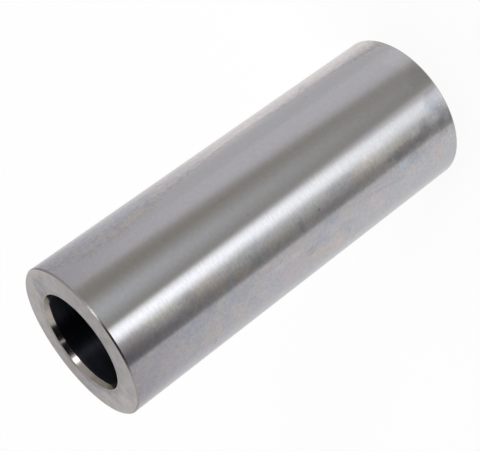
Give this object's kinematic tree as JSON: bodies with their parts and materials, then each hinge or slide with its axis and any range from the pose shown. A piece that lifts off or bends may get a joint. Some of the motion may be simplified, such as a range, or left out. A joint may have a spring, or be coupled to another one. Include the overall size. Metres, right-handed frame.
{
  "type": "piston pin",
  "caption": "Straight hollow piston pin: a ground steel tube whose bore opens out at both mouths, which joins a piston to its connecting rod.",
  "frame": {"origin": "centre of the lower end face, on the pin's axis", "axes": "+Z along the pin's axis, from the end that it stands on to the other end; X and Y are any two directions across it"},
  "size_m": [0.022, 0.022, 0.058],
  "materials": {
    "ground_steel": "hardened steel, finely ground outside and satin on the end faces, with a dark drawn bore"
  },
  "bodies": {
    "root": {"piston_pin": "ground_steel"}
  },
  "joints": []
}
